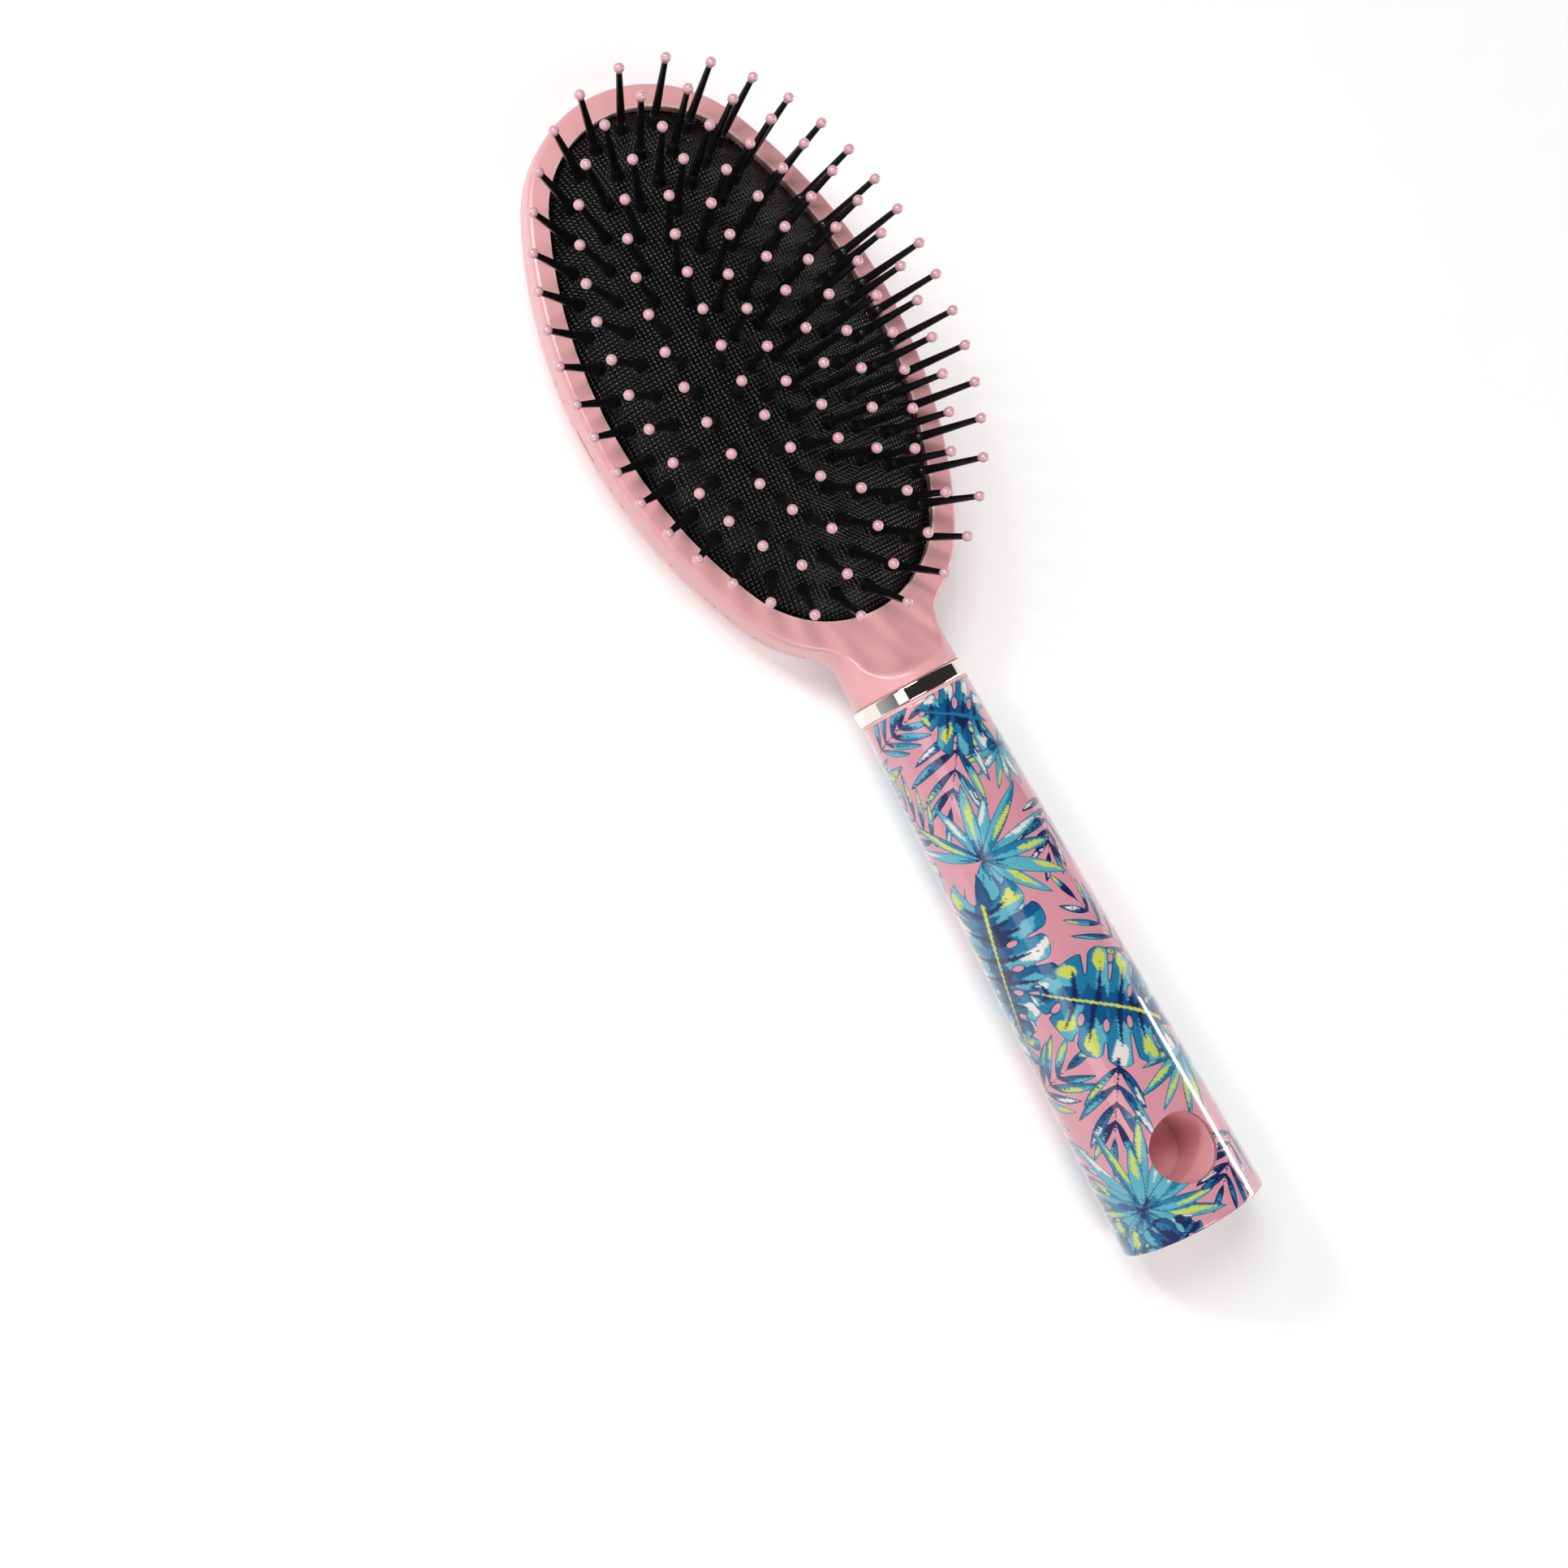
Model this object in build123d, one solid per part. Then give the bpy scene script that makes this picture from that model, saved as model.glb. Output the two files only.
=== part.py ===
from build123d import *
import os
from math import atan2, cos, hypot, pi, radians, sin, sqrt

# Vanity hairbrush with an oval air cushion, lying on its back with the bristles up.
# Millimetres. X is the width, +Y points to the top of the head and +Z is the bristle
# side. The origin is the bottom centre of the whole brush.

# ---- Overall layout ----
HEAD_Y = 63.2               # centre of the cushion opening
FACE_Z = 20.5               # face of the head
AXIS_Z = 15.1               # axis of neck and handle, and the parting plane of the head

# ---- Head ----
OPENING = (53.7, 29.6, 22.5)        # opening: half length, half width, end radius
FACE = (59.3, 33.9, 26.0)           # outer edge of the face, in the same terms
FACE_SHIFT = -0.7                   # the outer oval sits a little towards the handle
SIDE_BULGE = 0.3                    # the side wall leans out this much to the parting plane
FACE_EDGE_RADIUS = 1.0
BACK_INSET = 20.0                   # the back curves in by this much down to its flat
BACK_STEPS = 6
HEAD_WALL = 2.2
LIP_THICKNESS = 2.5                 # lip of the front frame over the cushion's flange
POCKET_OFFSET = 2.5                 # the flange pocket is this much larger than the opening
LEDGE_INSET = 2.6                   # ledge of the back cover under the cushion plate

# ---- Neck and tang ----
NECK_END_Y = -6.1                   # shoulder where the ferrule starts
NECK_RADIUS = 11.2
NECK_SECTIONS = (                   # distance from the shoulder, half width, half height
    (0.0, 11.2, 11.2),
    (5.0, 11.0, 11.1),
    (9.0, 10.9, 11.0),
    (11.5, 11.6, 11.0),
    (14.0, 14.4, 11.0),
    (16.5, 17.0, 11.0),
    (19.5, 19.2, 11.0),
)
SCOOP_RADIUS = 9.2                  # thumb scoop in the front of the neck
SCOOP_START_Y = 5.2
TANG_RADIUS = 8.6
TANG_LENGTH = 23.0

# ---- Cushion ----
EDGE_GAP = 0.6                      # shadow gap between the cushion and the lip
DOME = (31.7, 57.6, 17.3)           # half axes of the ellipsoid that shapes the dome
DOME_TOP = 9.4                      # dome top above the face
RUBBER = 1.2
FLANGE_THICKNESS = 1.5
PLATE_THICKNESS = 1.4
VENT_RADIUS = 1.2
SLIP = 0.1                          # clearance between pieces laid into each other
HOLE_CLEARANCE = 0.05

# ---- Bristle pins ----
RINGS = 4
RING_COUNT, RING_COUNT_STEP = 38, 6
RING_LENGTH, RING_LENGTH_STEP = 49.1, 6.5       # half length of the outer ring, and step
RING_WIDTH, RING_WIDTH_STEP = 26.8, 6.4         # half width of the outer ring, and step
PIN_SHIFT_Y = 0.4
FAN_X, FAN_Y = 0.033, 0.010                     # lean of a pin for each mm off centre
CORE_QUADRANT = ((2.65, 9.5), (2.7, 3.35))      # centre pins, mirrored in X and Y
CORE_LINE = (21.0, 15.15)                       # centre pins on the long axis, mirrored in Y
PIN_LENGTH = 16.7                               # from the cushion to the centre of the tip
TIP_RADIUS = 1.0
SHAFT_TOP_RADIUS, SHAFT_FOOT_RADIUS = 0.6, 0.88
COLLAR_RADIUS, COLLAR_LENGTH = 1.2, 2.6
SHANK_RADIUS = 0.85
HEAD_RADIUS, HEAD_THICKNESS = 1.7, 0.8
COLLAR_SEAT = 0.25                              # the collar starts this much above the rubber
ARC_SAMPLES = 720

# ---- Ferrule and handle ----
FERRULE_RADIUS, FERRULE_LENGTH, FERRULE_EDGE = 11.7, 3.1, 0.5
HANDLE_TOP_RADIUS, HANDLE_END_RADIUS = 11.3, 15.1
HANDLE_END_Y = -122.1
CORE_LIP = 0.6                      # edge of the core that shows above the sleeve
SLEEVE_WALL = 1.4
CORE_WALL = 2.4
CORE_SOLID_LENGTH = 26.0
SLEEVE_END_RADIUS = 0.6
FIT = 0.05
HOLE_Y = -107.1
HOLE_RADIUS = 6.7
HOLE_FLOOR_Z = 10.0                 # the hanging hole ends on a floor inside the handle
BUSH_WALL = 1.5
BOSS_WALL = 2.5
CAP_THICKNESS = 2.4
CAP_RECESS = 0.5
CAP_SPIGOT = 2.4

FERRULE_END_Y = NECK_END_Y - FERRULE_LENGTH


def oval(size, z, inset=0.0, shift=0.0):
    """Face of an oval made of four tangent arcs, long axis along Y, pulled in by inset."""
    length, width, end = (value - inset for value in size)
    side = ((length - end) ** 2 + width ** 2 - end ** 2) / (2 * (width - end))
    angle = atan2(length - end, side - width)
    joint_x = width - side + side * cos(angle)
    joint_y = side * sin(angle)
    y = HEAD_Y + shift
    wire = Wire([
        ThreePointArc((-joint_x, y + joint_y, z), (0, y + length, z), (joint_x, y + joint_y, z)),
        ThreePointArc((joint_x, y + joint_y, z), (width, y, z), (joint_x, y - joint_y, z)),
        ThreePointArc((joint_x, y - joint_y, z), (0, y - length, z), (-joint_x, y - joint_y, z)),
        ThreePointArc((-joint_x, y - joint_y, z), (-width, y, z), (-joint_x, y + joint_y, z)),
    ])
    return Face(wire)


def oval_slab(size, bottom, top, inset=0.0, shift=0.0):
    """Straight-sided oval block between two heights."""
    return Solid.extrude(oval(size, bottom, inset, shift), Vector(0, 0, top - bottom))


def back_shape(wall):
    """Rounded back of the head, from the parting plane down, pulled in by wall."""
    sections = []
    for step in range(BACK_STEPS + 1):
        angle = radians(90 * step / BACK_STEPS)
        inset = wall - SIDE_BULGE + (BACK_INSET - wall) * (1 - cos(angle))
        depth = (AXIS_Z - wall) * sin(angle)
        sections.append(oval(FACE, AXIS_Z - depth, inset, FACE_SHIFT))
    return Solid.make_loft([face.outer_wire() for face in sections])


def front_shape():
    """Front of the head above the parting plane, with a rounded edge to its face."""
    foot = oval(FACE, AXIS_Z, -SIDE_BULGE, FACE_SHIFT)
    face = oval(FACE, FACE_Z, 0, FACE_SHIFT)
    block = Solid.make_loft([foot.outer_wire(), face.outer_wire()], True)
    return block.fillet(FACE_EDGE_RADIUS, block.faces().sort_by(Axis.Z)[-1].edges())


def neck_shape():
    """Round neck that widens into the head, with the tang that enters the handle."""
    sections = []
    for distance, half_width, half_height in NECK_SECTIONS:
        plane = Plane((0, NECK_END_Y + distance, AXIS_Z), x_dir=(1, 0, 0), z_dir=(0, 1, 0))
        sections.append((plane * Ellipse(half_width, half_height)).wire())
    tang = along_handle(NECK_END_Y, NECK_END_Y - TANG_LENGTH, TANG_RADIUS, TANG_RADIUS)
    return Solid.make_loft(sections) + tang


def scoop_cut():
    """Space above the face and above the thumb scoop, as wide as the neck."""
    rise = 6.9
    run = sqrt(SCOOP_RADIUS ** 2 - (SCOOP_RADIUS - rise) ** 2)
    half = 0.5 * atan2(run, SCOOP_RADIUS - rise)
    start = Vector(0, SCOOP_START_Y, FACE_Z)
    middle = start + Vector(0, -SCOOP_RADIUS * sin(half), SCOOP_RADIUS * (1 - cos(half)))
    top = start + Vector(0, -run, rise)
    far_y = HEAD_Y
    wire = Wire([
        ThreePointArc(start, middle, top),
        Line(top, (0, far_y, top.Z)),
        Line((0, far_y, top.Z), (0, far_y, FACE_Z)),
        Line((0, far_y, FACE_Z), start),
    ])
    profile = Face(wire).moved(Location((-2 * NECK_RADIUS, 0, 0)))
    return Solid.extrude(profile, Vector(4 * NECK_RADIUS, 0, 0))


def slab(low, high):
    """Block that covers the whole brush between two heights."""
    block = Box(200, 300, high - low, align=(Align.CENTER, Align.CENTER, Align.MIN))
    return Pos(0, 0, low) * block


def along_handle(start_y, end_y, start_radius, end_radius):
    """Cone or cylinder on the handle's axis, from start_y down to end_y."""
    plane = Plane((0, start_y, AXIS_Z), x_dir=(1, 0, 0), z_dir=(0, -1, 0))
    if start_radius == end_radius:
        return Solid.make_cylinder(start_radius, start_y - end_y, plane)
    return Solid.make_cone(start_radius, end_radius, start_y - end_y, plane)


def handle_radius(y):
    """Outer radius of the handle where it is cut at y."""
    share = (FERRULE_END_Y - y) / (FERRULE_END_Y - HANDLE_END_Y)
    return HANDLE_TOP_RADIUS + (HANDLE_END_RADIUS - HANDLE_TOP_RADIUS) * share


def handle_cone(start_y, end_y, inset):
    """Piece of the tapered handle, pulled in by inset."""
    return along_handle(start_y, end_y, handle_radius(start_y) - inset, handle_radius(end_y) - inset)


def hole_cylinder(radius, bottom=HOLE_FLOOR_Z, top=3 * HANDLE_END_RADIUS):
    """Upright cylinder at the hanging hole, from its floor out through the front."""
    return Solid.make_cylinder(radius, top - bottom, Plane((0, HOLE_Y, bottom)))


def dome_shape(inset):
    """Ellipsoid under the cushion's surface, pulled in by inset."""
    half_axes = [value - inset for value in DOME]
    ball = scale(Solid.make_sphere(1.0, angle1=-90, angle2=90), by=tuple(half_axes))
    return ball.moved(Location((0, HEAD_Y, FACE_Z + DOME_TOP - DOME[2])))


def dome_height(x, y):
    """Height of the cushion's surface over a point given from the cushion's centre."""
    level = 1 - (x / DOME[0]) ** 2 - (y / DOME[1]) ** 2
    return FACE_Z + DOME_TOP - DOME[2] + DOME[2] * sqrt(level)


def ring_places(ring):
    """Pin places of one elliptical ring, evenly spaced along it from the top."""
    half_length = RING_LENGTH - ring * RING_LENGTH_STEP
    half_width = RING_WIDTH - ring * RING_WIDTH_STEP
    count = RING_COUNT - ring * RING_COUNT_STEP
    angles = [2 * pi * sample / ARC_SAMPLES for sample in range(ARC_SAMPLES + 1)]
    points = [(half_width * sin(angle), half_length * cos(angle)) for angle in angles]
    travelled = [0.0]
    for (x0, y0), (x1, y1) in zip(points, points[1:]):
        travelled.append(travelled[-1] + hypot(x1 - x0, y1 - y0))
    places = []
    for pin in range(count):
        goal = travelled[-1] * pin / count
        nearest = min(range(ARC_SAMPLES), key=lambda sample: abs(travelled[sample] - goal))
        places.append(points[nearest])
    return places


def centre_places():
    """Pin places inside the inner ring."""
    places = [(0, side * y) for y in CORE_LINE for side in (1, -1)]
    for x, y in CORE_QUADRANT:
        places += [(sx * x, sy * y) for sx in (1, -1) for sy in (1, -1)]
    return places


def pin_frame(place):
    """Plane on the cushion's surface at a pin, its Z axis along the pin."""
    x, y = place[0], place[1] + PIN_SHIFT_Y
    lean = (FAN_X * place[0], FAN_Y * place[1], 1)
    return Plane((x, HEAD_Y + y, dome_height(x, y)), x_dir=(1, 0, -lean[0]), z_dir=lean)


def pin_solid():
    """One pin on the Z axis, with the rubber's surface at zero height."""
    collar_top = COLLAR_SEAT + COLLAR_LENGTH
    head_top = -RUBBER - 0.35
    outline = Polyline(
        (0, head_top - HEAD_THICKNESS),
        (HEAD_RADIUS, head_top - HEAD_THICKNESS),
        (HEAD_RADIUS, head_top),
        (SHANK_RADIUS, head_top),
        (SHANK_RADIUS, COLLAR_SEAT),
        (COLLAR_RADIUS, COLLAR_SEAT),
        (COLLAR_RADIUS * 0.9, collar_top),
        (SHAFT_FOOT_RADIUS, collar_top),
        (SHAFT_TOP_RADIUS, PIN_LENGTH),
        (0, PIN_LENGTH),
        close=True,
    )
    return revolve(Plane.XZ * make_face(outline), Axis.Z).solid()


def tip_solid():
    """Ball tip of a pin, hollowed where the pin's end sits in it."""
    ball = Pos(0, 0, PIN_LENGTH) * Sphere(TIP_RADIUS)
    return (ball - pin_solid()).solid()


def place_copies(solid, places):
    """Copies of one solid at the pin places, as a single group."""
    return Compound([pin_frame(place).location * solid for place in places])


def back_hollow():
    """Space inside the back of the head, with its narrower mouth under the plate."""
    hollow = back_shape(HEAD_WALL) & slab(0, AXIS_Z - LEDGE_INSET)
    return hollow + oval_slab(OPENING, AXIS_Z - 2 * LEDGE_INSET, AXIS_Z, LEDGE_INSET - POCKET_OFFSET)


def front_frame():
    """Front of the head in one piece with neck and tang: opening and flange pocket."""
    opening = oval_slab(OPENING, AXIS_Z, FACE_Z + 1)
    pocket = oval_slab(OPENING, AXIS_Z, FACE_Z - LIP_THICKNESS, -POCKET_OFFSET)
    frame = front_shape() + (neck_shape() - scoop_cut())
    return frame - opening - pocket - back_hollow()


def back_cover():
    """Hollow back of the head, let in around the neck, with a ledge for the plate."""
    return back_shape(0) - back_hollow() - neck_shape()


def cushion_plate():
    """Stiff oval plate that closes the air space, with a vent in the middle."""
    plate = oval_slab(OPENING, AXIS_Z, AXIS_Z + PLATE_THICKNESS, SLIP - POCKET_OFFSET)
    vent = Solid.make_cylinder(VENT_RADIUS, 10, Plane((0, HEAD_Y, AXIS_Z - 5)))
    return plate - vent


def cushion(places):
    """Hollow rubber dome with a flange all round and a hole for each pin."""
    foot = FACE_Z - LIP_THICKNESS - FLANGE_THICKNESS
    above = FACE_Z + 2 * DOME_TOP
    outside = dome_shape(0) & oval_slab(OPENING, foot, above, EDGE_GAP)
    inside = dome_shape(RUBBER) & oval_slab(OPENING, foot, above, EDGE_GAP + RUBBER)
    flange = oval_slab(OPENING, foot, foot + FLANGE_THICKNESS, SLIP - POCKET_OFFSET)
    flange -= oval_slab(OPENING, foot, foot + FLANGE_THICKNESS, EDGE_GAP + RUBBER)
    shell = outside - inside + flange
    drill = Pos(0, 0, -4) * Cylinder(
        SHANK_RADIUS + HOLE_CLEARANCE, 8, align=(Align.CENTER, Align.CENTER, Align.MIN)
    )
    return shell - [pin_frame(place).location * drill for place in places]


def ferrule():
    """Bright ring between neck and handle, with rounded edges."""
    ring = along_handle(NECK_END_Y, FERRULE_END_Y, FERRULE_RADIUS, FERRULE_RADIUS)
    ring = ring.fillet(FERRULE_EDGE, ring.edges().filter_by(GeomType.CIRCLE))
    return ring - along_handle(0, -20, TANG_RADIUS + FIT, TANG_RADIUS + FIT)


def handle_core():
    """Moulded core of the handle, with the tang's socket and a hollow behind it."""
    lip_end = FERRULE_END_Y - CORE_LIP
    cap_y = HANDLE_END_Y + CAP_RECESS + CAP_THICKNESS
    lip = handle_cone(FERRULE_END_Y, lip_end, 0)
    core = lip + handle_cone(lip_end, cap_y, SLEEVE_WALL + FIT)
    socket_end = NECK_END_Y - TANG_LENGTH - FIT
    core -= along_handle(0, socket_end, TANG_RADIUS + FIT, TANG_RADIUS + FIT)
    hollow_start = FERRULE_END_Y - CORE_SOLID_LENGTH
    core -= handle_cone(hollow_start, cap_y - 1, SLEEVE_WALL + CORE_WALL)
    boss = hole_cylinder(HOLE_RADIUS + BOSS_WALL, 0, HOLE_FLOOR_Z)
    core += boss & handle_cone(hollow_start, cap_y, SLEEVE_WALL + FIT)
    return core - hole_cylinder(HOLE_RADIUS + BUSH_WALL + FIT)


def handle_sleeve():
    """Printed sleeve over the core, with the hanging hole in its front."""
    start_y = FERRULE_END_Y - CORE_LIP
    sleeve = handle_cone(start_y, HANDLE_END_Y, 0)
    end_edge = sleeve.edges().filter_by(GeomType.CIRCLE).sort_by(Axis.Y)[0]
    sleeve = sleeve.fillet(SLEEVE_END_RADIUS, [end_edge])
    sleeve -= handle_cone(start_y + 1, HANDLE_END_Y - 1, SLEEVE_WALL)
    return sleeve - hole_cylinder(HOLE_RADIUS + FIT)


def hole_bush():
    """Tube that lines the hanging hole from the front of the core to its floor."""
    tube = hole_cylinder(HOLE_RADIUS + BUSH_WALL) - hole_cylinder(HOLE_RADIUS)
    return tube & handle_cone(HOLE_Y + 20, HANDLE_END_Y, SLEEVE_WALL + FIT)


def end_cap():
    """Cap in the open end of the handle, with a spigot inside the core."""
    outer_y = HANDLE_END_Y + CAP_RECESS
    inner_y = outer_y + CAP_THICKNESS
    disc = handle_cone(inner_y, outer_y, SLEEVE_WALL + FIT)
    spigot = handle_cone(inner_y + CAP_SPIGOT, inner_y, SLEEVE_WALL + CORE_WALL + FIT)
    bore = handle_cone(inner_y + CAP_SPIGOT + 1, inner_y, SLEEVE_WALL + 2 * CORE_WALL)
    return disc + (spigot - bore)


def build_parts():
    """All sub-parts by name."""
    groups = {f"ring_{ring + 1}": ring_places(ring) for ring in range(RINGS)}
    groups["centre"] = centre_places()
    all_places = [place for places in groups.values() for place in places]
    parts = {
        "front_frame": front_frame(),
        "back_cover": back_cover(),
        "cushion": cushion(all_places),
        "cushion_plate": cushion_plate(),
        "ferrule": ferrule(),
        "handle_core": handle_core(),
        "handle_sleeve": handle_sleeve(),
        "hole_bush": hole_bush(),
        "end_cap": end_cap(),
    }
    for group, places in groups.items():
        parts[f"pins_{group}"] = place_copies(pin_solid(), places)
        parts[f"tips_{group}"] = place_copies(tip_solid(), places)
    return parts


os.makedirs("parts", exist_ok=True)
for name, shape in build_parts().items():
    export_step(shape, f"parts/{name}.step")
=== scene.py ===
from math import atan2, cos, hypot, pi, radians, sin, sqrt

import bpy
import numpy as np
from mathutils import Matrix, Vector


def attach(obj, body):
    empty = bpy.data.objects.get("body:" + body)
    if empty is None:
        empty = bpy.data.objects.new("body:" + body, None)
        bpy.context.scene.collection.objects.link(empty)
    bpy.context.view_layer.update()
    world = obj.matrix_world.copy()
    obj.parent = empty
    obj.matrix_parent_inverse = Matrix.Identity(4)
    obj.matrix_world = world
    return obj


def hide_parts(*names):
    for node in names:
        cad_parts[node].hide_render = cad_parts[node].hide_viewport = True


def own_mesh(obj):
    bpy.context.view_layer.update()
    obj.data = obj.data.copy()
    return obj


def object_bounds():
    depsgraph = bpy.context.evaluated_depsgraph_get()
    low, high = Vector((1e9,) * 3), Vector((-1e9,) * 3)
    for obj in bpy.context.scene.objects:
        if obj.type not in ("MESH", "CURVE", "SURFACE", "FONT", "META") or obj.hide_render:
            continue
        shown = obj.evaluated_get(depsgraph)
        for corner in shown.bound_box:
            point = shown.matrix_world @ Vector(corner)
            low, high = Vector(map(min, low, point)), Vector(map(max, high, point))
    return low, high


# Vanity hairbrush: the looks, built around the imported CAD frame. Shapes are worked out in
# millimetres with the same driving dimensions as the CAD part and stored in metres.
# X is the width, +Y points to the top of the head and +Z is the bristle side.

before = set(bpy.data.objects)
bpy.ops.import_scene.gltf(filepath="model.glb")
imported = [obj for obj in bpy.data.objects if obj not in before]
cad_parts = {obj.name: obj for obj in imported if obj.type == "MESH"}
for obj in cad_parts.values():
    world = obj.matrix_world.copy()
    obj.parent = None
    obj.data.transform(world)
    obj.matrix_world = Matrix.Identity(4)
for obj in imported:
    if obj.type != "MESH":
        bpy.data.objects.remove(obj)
cad_low, cad_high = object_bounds()

MM = 0.001

# ---- Head and neck ----
HEAD_Y = 63.2
FACE_Z = 20.5
AXIS_Z = 15.1
OPENING = (53.7, 29.6, 22.5)  # half length, half width, end radius
FACE = (59.3, 33.9, 26.0)
FACE_SHIFT = -0.7
SIDE_BULGE = 0.3
BACK_INSET = 20.0
LIP_BOTTOM_Z = 18.0
POCKET_OFFSET = 2.5
HEAD_WALL = 2.2
LEDGE_Z = 12.5
NECK_END_Y = -6.1
NECK_RADIUS = 11.15
NECK_BLEND = 3.2
NECK_TOP_Y, NECK_TOP_ROUNDING = 18.0, 3.0
SCOOP_RADIUS = 11.2
SCOOP_START_Y = 5.8
DISH_DEPTH, DISH_WIDTH, DISH_LENGTH, DISH_Y = 0.22, 7.0, 3.6, 4.5
SEAM_Y = 8.0  # where the back cover ends on the underside of the neck
SEAM_ROUNDING = 0.15

# ---- Cushion ----
EDGE_GAP = 0.28
DOME = (31.7, 57.6, 17.3)  # half axes of the ellipsoid
DOME_TOP = 9.4  # above the face
CUSHION_FOOT_Z = 18.3
FLANGE = (16.5, 17.9)
SWELL_HEIGHT, SWELL_RADIUS = 0.42, 2.5

# ---- Pins ----
RING_COUNT, RING_COUNT_STEP = 38, 6
RING_LENGTH, RING_LENGTH_STEP = 49.1, 6.5
RING_WIDTH, RING_WIDTH_STEP = 26.8, 6.4
PIN_SHIFT_Y = 0.4
FAN_X, FAN_Y = 0.033, 0.010
CORE_QUADRANT = ((2.65, 9.5), (2.7, 3.35))
CORE_LINE = (21.0, 15.15)
PIN_LENGTH = 16.7
TIP_RADIUS = 1.03
ARC_SAMPLES = 720

# ---- Ferrule, handle and hanging hole ----
FERRULE_RADIUS = 11.7
FERRULE_END_Y = -9.2
HANDLE_TOP_RADIUS, HANDLE_END_RADIUS = 11.3, 15.1
HANDLE_END_Y = -122.1
SLEEVE_START_Y = FERRULE_END_Y - 0.6
SLEEVE_WALL = 1.4
SLEEVE_ROUNDING = 0.6
SLEEVE_ROWS, SLEEVE_COLUMNS = 345, 270
HOLE_Y = -107.1
HOLE_RADIUS = 6.7
HOLE_RIM = 0.3
BUSH_GAP = 0.05
HOLE_FLOOR_Z = 10.0
BUSH_WALL = 1.5


# ==== Meshes ====

def add_object(name, data):
    """New object in the scene."""
    made = bpy.data.objects.new(name, data)
    bpy.context.scene.collection.objects.link(made)
    return made


def make_piece(name, corners, faces, material, slot, stands_for=None, field=None, body="brush_body"):
    """Smooth mesh piece from corners in millimetres, with its material and on a body; the slot
    argument is not used.

    It takes the place of a CAD node. Made from a field, it is shaded by the field's slope.
    """
    mesh = bpy.data.meshes.new(name)
    mesh.from_pydata([tuple(p) for p in (np.asarray(corners) * MM).tolist()], [], faces)
    mesh.polygons.foreach_set("use_smooth", [True] * len(mesh.polygons))
    mesh.update()
    if field:
        slope = slope_of(field, np.asarray(corners))
        slope /= np.maximum(np.sqrt((slope ** 2).sum(1)), 1e-6)[:, None]
        mesh.normals_split_custom_set_from_vertices(slope.tolist())
    else:
        mesh.set_sharp_from_angle(angle=radians(65))
    piece = add_object(name, mesh)
    mesh.materials.append(material)
    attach(piece, body)
    if stands_for:
        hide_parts(stands_for)
    return piece


def surface_net(field, low, high, step):
    """Quads on the surface where field(x, y, z) is zero; the field is negative inside."""
    axes = [np.arange(a - 1.5 * step, b + 2.5 * step, step) for a, b in zip(low, high)]
    values = field(*np.meshgrid(*axes, indexing="ij"))
    inside = values < 0
    shape = np.array(inside.shape) - 1
    corners_in = np.zeros(shape, np.int8)
    for corner in np.ndindex(2, 2, 2):
        part = tuple(slice(c, c + n) for c, n in zip(corner, shape))
        corners_in += inside[part]
    cells = np.argwhere((corners_in > 0) & (corners_in < 8))
    number = np.full(shape, -1)
    number[tuple(cells.T)] = np.arange(len(cells))
    total, count = np.zeros((len(cells), 3)), np.zeros(len(cells))
    faces = []
    for axis in range(3):
        ahead = np.eye(3, dtype=int)[axis]
        sides = [np.eye(3, dtype=int)[(axis + turn) % 3] for turn in (1, 2)]
        for first in (0, 1):
            for second in (0, 1):
                near = cells + first * sides[0] + second * sides[1]
                a, b = values[tuple(near.T)], values[tuple((near + ahead).T)]
                crossed = (a < 0) != (b < 0)
                share = np.where(crossed, a / np.where(crossed, a - b, 1), 0)
                offset = first * sides[0] + second * sides[1] + share[:, None] * ahead
                total += np.where(crossed[:, None], offset, 0)
                count += crossed
        cut = [slice(1, n) for n in shape]
        cut[axis] = slice(0, shape[axis])
        start = inside[tuple(cut)]
        cut[axis] = slice(1, shape[axis] + 1)
        end = inside[tuple(cut)]
        for rising in (True, False):
            found = np.argwhere(start & ~end if rising else ~start & end)
            found = found + (1 - ahead)
            ring = [found - sides[0] - sides[1], found - sides[1], found, found - sides[0]]
            quads = np.stack([number[tuple(corner.T)] for corner in ring], axis=1)
            faces.append(quads if rising else quads[:, ::-1])
    origin = np.array([a[0] for a in axes])
    points = origin + step * (cells + total / count[:, None])
    return settle(points, field, step), np.concatenate(faces).tolist()


def slope_of(field, points):
    """Gradient of a field at points."""
    reach = 0.02
    return np.stack([
        (field(*(points + reach * way).T) - field(*(points - reach * way).T)) / (2 * reach)
        for way in np.eye(3)
    ], axis=1)


def settle(points, field, step):
    """Moves points onto the field's zero surface by a few Newton steps."""
    for _ in range(4):
        value, slope = field(*points.T), slope_of(field, points)
        move = -value[:, None] * slope / np.maximum((slope ** 2).sum(1), 0.05)[:, None]
        length = np.sqrt((move ** 2).sum(1))[:, None]
        points = points + move * np.minimum(1, 0.35 * step / np.maximum(length, 1e-9))
    return points


def grid_faces(rows, columns, offset=0):
    """Quads between closed rows of points."""
    return [
        [
            offset + row * columns + column,
            offset + row * columns + (column + 1) % columns,
            offset + (row + 1) * columns + (column + 1) % columns,
            offset + (row + 1) * columns + column,
        ]
        for row in range(rows - 1)
        for column in range(columns)
    ]


def loop_faces(rings, columns):
    """Quads between closed rings of points, the last ring joined to the first."""
    count = rings * columns
    return [[corner % count for corner in face] for face in grid_faces(rings + 1, columns)]


def circle(radius, height, segments):
    """Points of a circle about the Z axis."""
    turns = [2 * pi * k / segments for k in range(segments)]
    return [(radius * cos(turn), radius * sin(turn), height) for turn in turns]


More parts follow.
